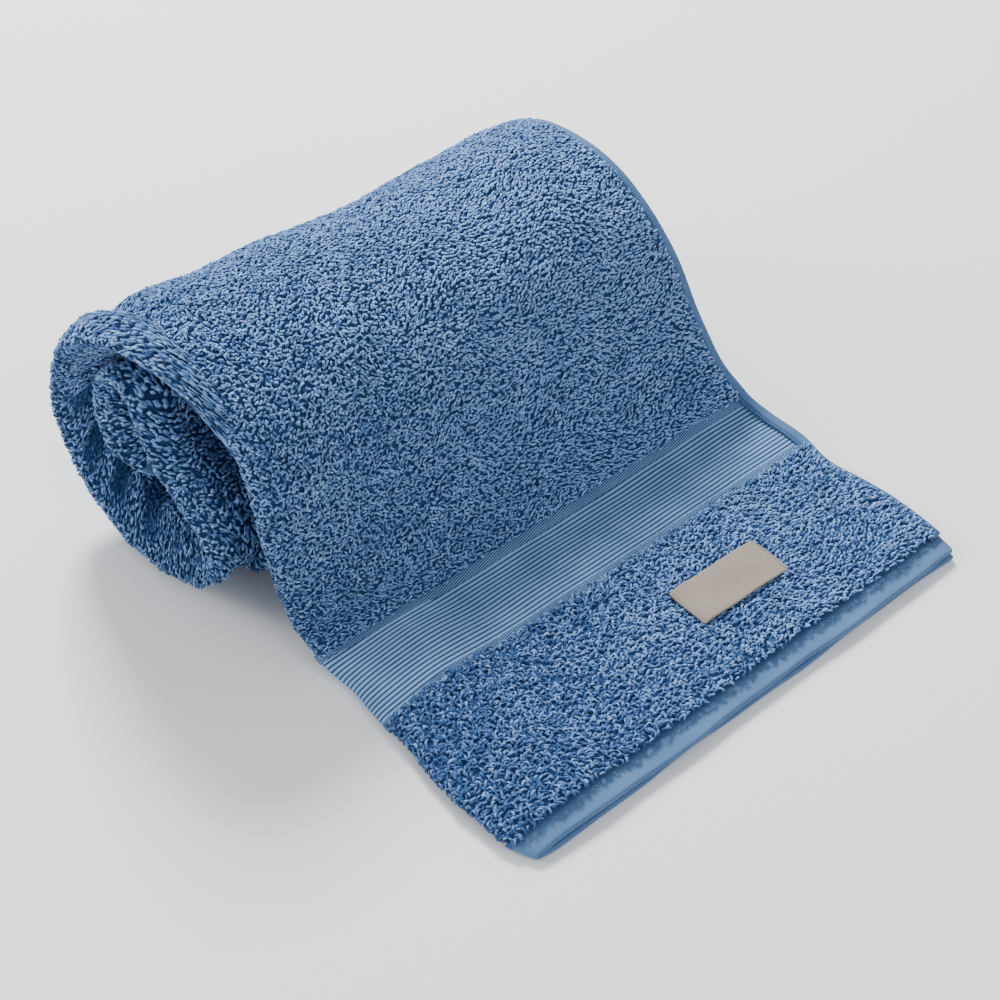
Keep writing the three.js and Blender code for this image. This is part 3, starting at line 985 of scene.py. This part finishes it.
@dataclass
class WovenBorder(ClothPart):
    """The flat woven border: cords that run across the towel, between two narrow bands of slanting twill."""

    cord_pitch: float = 2.12
    cord_height: float = 1.0
    cord_root: float = -1.1
    twill_height: float = 0.32
    twill_root: float = -0.6
    tuck: float = 2.0

    def strip_around(self) -> np.ndarray:
        """Places round the fold, close together at its edge and far apart on the face that lies down."""
        end = self.cloth.reach - self.cloth.cut.selvage_width + 0.4
        return self.around_fold(end, 1.8, 14.0, 4.5)

    @staticmethod
    def twill_width(around: np.ndarray) -> np.ndarray:
        """Width of a twill band: narrow at the fold, and 5.5 mm from 80 mm past it."""
        return 2.6 + 2.9 * smooth_step(around, -10, 80)

    def cords(self, material: bpy.types.Material) -> bpy.types.Object:
        """Make the cords round both faces: each stands out by the upper part of a circle.

        Args:
            material: Finish of the cords.

        Returns:
            The new object.
        """
        cut = self.cloth.cut
        tuck = self.tuck - 1.0
        along = even(cut.border_start - tuck, cut.border_end + tuck, self.cord_pitch / 6)
        band = ClothBand(along, self.strip_around())
        at_along, at_around = band.places()
        wander = 0.25 * np.sin(at_around * 0.05) + 0.12 * np.sin(at_around * 0.17 + at_along * 0.2)
        phase = np.mod((at_along + wander - cut.border_start) / self.cord_pitch, 1.0) * 2 - 1
        share = np.sqrt(np.maximum(1 - 0.97 * phase**2, 0.0))
        outer = self.cord_height * (share - 0.75)
        # Painted light on the cords' crowns and painted shade in the grooves between them; the cords are also
        # painted lighter near the fold, for light that falls there.
        tone = (-0.78 - 0.16 * smooth_step(at_around, 20.0, 170.0)) + 1.32 * smooth_step(share, 0.40, 0.97)
        skins = self.skins(at_along, at_around, outer, self.cord_root, cut.border_half)
        return self.closed_band("border_cords", band, skins, tone, material, (at_around, at_along))

    def twill(self, upper: bool, material: bpy.types.Material) -> bpy.types.Object:
        """Make one twill band, which covers the cords' edge with a slanting side.

        Args:
            upper: True for the band beside the roll, False for the one beside the loose end.
            material: Finish of the twill.

        Returns:
            The new object.
        """
        cut = self.cloth.cut
        band = ClothBand(np.linspace(0.0, 1.0, 12), self.strip_around())
        at_share, at_around = band.places()
        width = self.twill_width(at_around)
        if upper:
            low, high = cut.border_end - width, cut.border_end + self.tuck
        else:
            low, high = cut.border_start - self.tuck, cut.border_start + width
        at_along = low + (high - low) * at_share
        rim = np.minimum(at_along - low, high - at_along)
        outer = self.twill_height * smooth_step(rim, 0.0, 0.7) + 0.02
        skins = self.skins(at_along, at_around, outer, self.twill_root, cut.border_half)
        # Painted shade: the band is darker at its rims, where it dips under the cords and the pile.
        return self.closed_band("border_twill_upper" if upper else "border_twill_lower", band, skins,
                                -0.75 + 0.30 * smooth_step(rim, 0.0, 0.8), material, (at_around, at_along))


@dataclass
class Hem(ClothPart):
    """The hems: flat bands turned under and sewn down across the cloth's two ends."""

    inner_skin: float = -2.6
    edge_radius: float = 0.9
    # Tone of the loose end's hem; the inner end's hem is painted darker as shade inside the roll, and the band
    # gets painted shadow where the pile overhangs it.
    loose_tone: float = 0.25
    inner_shaded_tone: float = -0.3
    painted_pile_shadow: float = 0.55

    def build(self, inner_end: bool, material: bpy.types.Material) -> bpy.types.Object:
        """Make one end's hem, round both faces.

        Its outer skin is rounded over the turned edge and rises and falls a little along it.

        Args:
            inner_end: True for the hem inside the roll, False for the one on the loose end.
            material: Finish of the band.

        Returns:
            The new object.
        """
        cut = self.cloth.cut
        along = np.concatenate([[-0.1, 0.0, 0.25, 0.6], even(1.0, cut.hem_end + 2.0, 0.9)])
        band = ClothBand(along, self.around_fold(self.cloth.reach, 1.8, 6.0, 6.0))
        at_along, at_around = band.places()
        rounded = self.edge_radius * (1 - np.sqrt(np.clip(1 - (1 - np.clip(at_along / 1.2, 0, 1))**2, 0, 1)))
        ripple = 0.22 * np.sin(at_around * 0.16) + 0.15 * np.sin(at_around * 0.37 + 1.0)
        outer = 0.2 - rounded + ripple * smooth_step(at_along, 0.0, 4.0)
        inner = self.inner_skin + rounded * 0.6
        edge_wave = 0.5 * np.sin(at_around * 0.055 + 0.4) + 0.25 * np.sin(at_around * 0.13)
        lie = at_along + edge_wave * (1 - smooth_step(at_along, 0.0, 8.0))
        skins = self.skins(cut.length - lie if inner_end else lie, at_around, outer, inner, cut.hem_half)
        # Painted shadow: the band darkens towards the pile, which overhangs it.
        under_pile = smooth_step(at_along, cut.hem_end - 2.5, cut.hem_end + 0.5)
        return self.closed_band("hem_inner_end" if inner_end else "hem_loose_end", band, skins,
                                (self.inner_shaded_tone if inner_end else self.loose_tone) - self.painted_pile_shadow * under_pile,
                                material, (at_around, at_along), mirrored=inner_end)


@dataclass
class Selvages(ClothPart):
    """The towel's two woven side edges, which lie together at the far end of the roll."""

    overlap: float = 0.8
    outer_level: float = -1.95
    crown_rise: float = 0.75
    groove_depth: float = 0.7
    inner_level: float = -3.2
    steps: tuple[float, ...] = (0.0, 0.06, 0.12, 0.2, 0.3, 0.5, 0.7, 0.86, 0.95, 1.0)

    def build(self, face: Face, material: bpy.types.Material) -> bpy.types.Object:
        """Make one selvage as a narrow turned band.

        It is rounded at its outer rim by the quarter of an ellipse and has a sewn groove at its inner one.

        Args:
            face: Layer whose edge it is.
            material: Finish of the band.

        Returns:
            The new object.
        """
        cut, cloth = self.cloth.cut, self.cloth
        along = np.concatenate([even(cut.hem_end - 1.0, 330.0, 3.0),
                                even(330.0, cut.length - 4.0, 5.0)[1:]])
        width = cut.selvage_width + self.overlap
        around = cloth.reach - width + np.array(self.steps) * width
        around = around if face is Face.OUTER else -around[::-1]
        band = ClothBand(along, around)
        at_along, at_around = band.places()
        share = (np.abs(at_around) - (cloth.reach - width)) / width
        crown = np.sqrt(np.clip(1 - np.clip((share - 0.55) / 0.45, 0, 1)**2, 0, 1))
        groove = hump(share - 0.14, 0.12)
        outer = self.outer_level + self.crown_rise * crown - self.groove_depth * groove
        skins = self.skins(at_along, at_around, outer, self.inner_level - 0.4 * crown)
        return self.closed_band("selvage_outer" if face is Face.OUTER else "selvage_inner", band, skins,
                                0.1 - 0.9 * groove, material, (at_along, at_around))


@dataclass
class SewnLabel(ClothPart):
    """A bare woven tape, sewn down by its two short ends."""

    width: float = 52.0
    depth: float = 22.4
    thickness: float = 0.8
    corner_x: float = 5.2
    corner_y: float = 37.6
    turn: float = math.radians(-0.9)
    corner_radius: float = 1.3
    lift: float = 0.55
    end_pull: float = 0.75
    rim_bevel: float = 0.22
    tone: float = 0.1
    stitch_pitch: float = 1.5
    stitch_start: float = 1.6
    stitch_inset: float = 1.3
    stitch_sides: int = 6
    # Rings of a stitch: place along it and radius.
    stitch_rings: tuple[tuple[float, float], ...] = ((-0.5, 0.08), (-0.35, 0.2), (0.35, 0.2), (0.5, 0.08))

    def lie(self, across: np.ndarray, up: np.ndarray, stand: np.ndarray) -> np.ndarray:
        """Points of the tape: flat over the pile, a little crowned in the middle and pulled down at its ends.

        Args:
            across: Distances along the tape.
            up: Distances over its depth.
            stand: Heights over its underside.

        Returns:
            Points in metres.
        """
        x = self.corner_x + across * math.cos(self.turn) - up * math.sin(self.turn)
        y = self.corner_y + across * math.sin(self.turn) + up * math.cos(self.turn)
        ends = hump(across, 5.0) + hump(across - self.width, 5.0)
        sag = 0.35 * np.sin(across * 0.21 + 0.8) + 0.25 * np.sin(up * 0.3 + across * 0.11)
        z = 2 * self.cloth.cut.pile_half + self.lift - self.end_pull * ends + sag + stand
        return in_frame(x, y, z)

    def build(self, material: bpy.types.Material) -> bpy.types.Object:
        """Make the tape as a closed sheet with rounded corners.

        Args:
            material: Finish of the tape.

        Returns:
            The new object.
        """
        band = ClothBand(even(0.0, self.depth, 0.8), even(0.0, self.width, 0.8))
        at_up, at_across = band.places()
        corner = self.corner_radius
        from_rim = np.minimum(at_up, self.depth - at_up)
        arc = np.sqrt(np.clip(corner**2 - (corner - from_rim)**2, 0, None))
        pull = np.where(from_rim < corner, corner - arc, 0)
        squeezed = pull + at_across * (self.width - 2 * pull) / self.width
        rim = np.minimum(from_rim, np.minimum(at_across, self.width - at_across))
        edge = self.rim_bevel * (1 - smooth_step(rim, 0.0, 0.8))
        skins = self.lie(squeezed, at_up, self.thickness - edge), self.lie(squeezed, at_up, edge)
        return self.closed_band("label_tape", band, skins, self.tone, material, (at_across, at_up), "label")

    def stitches(self, material: bpy.types.Material) -> bpy.types.Object:
        """Make the small stitches down the tape's two ends, each a short bead of thread.

        Args:
            material: Finish of the thread.

        Returns:
            The new object.
        """
        rows = np.arange(self.stitch_start, self.depth - 0.8, self.stitch_pitch)
        middle_up = np.tile(rows, 2)[:, None, None]
        columns = self.stitch_inset, self.width - self.stitch_inset
        middle_across = np.repeat(columns, len(rows))[:, None, None]
        turn = np.linspace(0, 2 * np.pi, self.stitch_sides, endpoint=False)
        reach, girth = np.array(self.stitch_rings).T[:, :, None]
        places = np.broadcast_arrays(middle_across + girth * np.cos(turn), middle_up + reach,
                                     self.thickness + 0.02 + girth * np.sin(turn))
        points = self.lie(*places).reshape(-1, 3)
        caps = np.array([[0, 5, 4, 3], [3, 2, 1, 0], [18, 19, 20, 21], [21, 22, 23, 18]])
        faces = np.concatenate([ring_faces(len(self.stitch_rings), self.stitch_sides, 0), caps])
        faces = repeated(faces, 2 * len(rows), len(self.stitch_rings) * self.stitch_sides)
        piece = self.maker.piece("label_stitches", points, faces, NO_TRIANGLES, material, "label")
        self.maker.map_cloth(piece, points[:, 0] / TO_METRES, points[:, 1] / TO_METRES)
        self.maker.tag(piece, "tone", np.full(len(points), self.tone))
        return piece


@dataclass
class Studio:
    """Pale floor, soft lights and the camera."""

    eye: tuple[float, float, float] = (-435.9, -299.6, 636.1)
    bearing: float = math.radians(43.41)
    dip: float = math.radians(45.40)
    roll: float = math.radians(2.66)
    lens: float = 70.87

    def camera(self) -> None:
        """Stand the camera where the picture was taken from."""
        data = bpy.data.cameras.new("camera")
        data.lens = self.lens
        data.sensor_width = 36.0
        data.clip_start = 0.01
        data.clip_end = 50.0
        camera = add_object("camera", data)
        ahead = Vector((math.sin(self.bearing) * math.cos(self.dip),
                        math.cos(self.bearing) * math.cos(self.dip), -math.sin(self.dip)))
        level = Vector((math.cos(self.bearing), -math.sin(self.bearing), 0.0))
        upright = level.cross(ahead)
        right = level * math.cos(self.roll) + upright * math.sin(self.roll)
        up = upright * math.cos(self.roll) - level * math.sin(self.roll)
        turn = Matrix((right, up, -ahead)).transposed().to_4x4()
        place = Vector((self.eye[0] + HOME_X, self.eye[1] + HOME_Y, self.eye[2])) * TO_METRES
        camera.matrix_world = Matrix.Translation(place) @ turn
        bpy.context.scene.camera = camera

    def lights(self) -> None:
        """Hang the soft lights: name, place, aim, side and power of each."""
        for name, place, aim, side, power in (
                ("key_light", (0.50, 1.25, 1.35), (0.0, 0.0, 0.05), 0.5, 60.0),
                ("fill_light", (-0.1, -1.5, 1.4), (0.0, 0.0, 0.04), 1.0, 9.0),
                ("edge_light", (-1.3, 1.1, 1.0), (0.0, 0.05, 0.05), 0.6, 15.0)):
            data = bpy.data.lights.new(name, "AREA")
            data.shape = "SQUARE"
            data.size = side
            data.energy = power
            light = add_object(name, data)
            toward = Vector(aim) - Vector(place)
            light.matrix_world = (Matrix.Translation(Vector(place))
                                  @ toward.to_track_quat("-Z", "Y").to_matrix().to_4x4())

    def surroundings(self) -> None:
        """Lay the floor and set the pale surroundings."""
        world = bpy.data.worlds.new("surroundings")
        world.use_nodes = True
        sky = world.node_tree.nodes["Background"]
        sky.inputs["Color"].default_value = (0.93, 0.96, 1.0, 1.0)
        sky.inputs["Strength"].default_value = 0.68
        bpy.context.scene.world = world
        mesh = bpy.data.meshes.new("floor")
        side = 6.0
        mesh.from_pydata([(-side, -side, 0), (side, -side, 0), (side, side, 0), (-side, side, 0)], [],
                         [(0, 1, 2, 3)])
        mesh.materials.append(FinishNodes("pale_floor").finish({
            "Base Color": (0.93, 0.93, 0.93, 1.0), "Roughness": 0.9, "Specular IOR Level": 0.1}))
        add_object("floor", mesh)


def main() -> None:
    """Build the towel, dress it and set the studio round it."""
    logging.basicConfig(level=logging.INFO, format="%(message)s")
    cut = ClothCut()
    cloth = FoldedCloth(cut, WoundPath(cut))
    maker = MeshMaker()
    studio = Studio()
    studio.camera()
    studio.lights()
    studio.surroundings()

    yarn = TerryFinish("terry_loops", (0.028, 0.090, 0.255), (0.280, 0.470, 0.860), sheen=0.2).make()
    # The ground weave is real, but its colours are dark as painted shade, standing for the shadow between the
    # loops.
    weave = TerryFinish("terry_ground", (0.018, 0.055, 0.155), (0.034, 0.095, 0.235), sheen=0.0,
                        bump=0.5).make()
    cord = WovenFinish("border_cords", (0.020, 0.062, 0.160), (0.290, 0.490, 0.860), thread_share=0.12,
                       relief=0.00005).make()
    twill = WovenFinish("border_twill", (0.020, 0.062, 0.160), (0.260, 0.440, 0.780), thread_pitch=0.001,
                        slant=math.radians(76), relief=0.0004, thread_share=1.1).make()
    band = WovenFinish("hem_weave", (0.035, 0.090, 0.215), (0.115, 0.225, 0.420), relief=0.0002).make()
    tape = WovenFinish("label_weave", (0.255, 0.210, 0.170), (0.375, 0.318, 0.266), thread_pitch=0.0009,
                       relief=0.0002).make()
    thread = WovenFinish("label_thread", (0.200, 0.160, 0.130), (0.270, 0.220, 0.180)).make()

    ground = GroundCloth(cloth, maker).build(weave)
    loops = Pile(cloth, maker).build_all(yarn)
    border = WovenBorder(cloth, maker)
    border_pieces = [border.cords(cord), border.twill(False, twill), border.twill(True, twill)]
    hems = [Hem(cloth, maker).build(inner_end, band) for inner_end in (False, True)]
    selvages = [Selvages(cloth, maker).build(face, band) for face in Face]
    label = SewnLabel(cloth, maker)
    tape_piece = label.build(tape)
    stitches = label.stitches(thread)
    faces = sum(len(polygon.vertices) - 2 for piece in maker.pieces for polygon in piece.data.polygons)
    LOG.info("triangles in all: %d", faces)


if __name__ == "__main__":
    main()
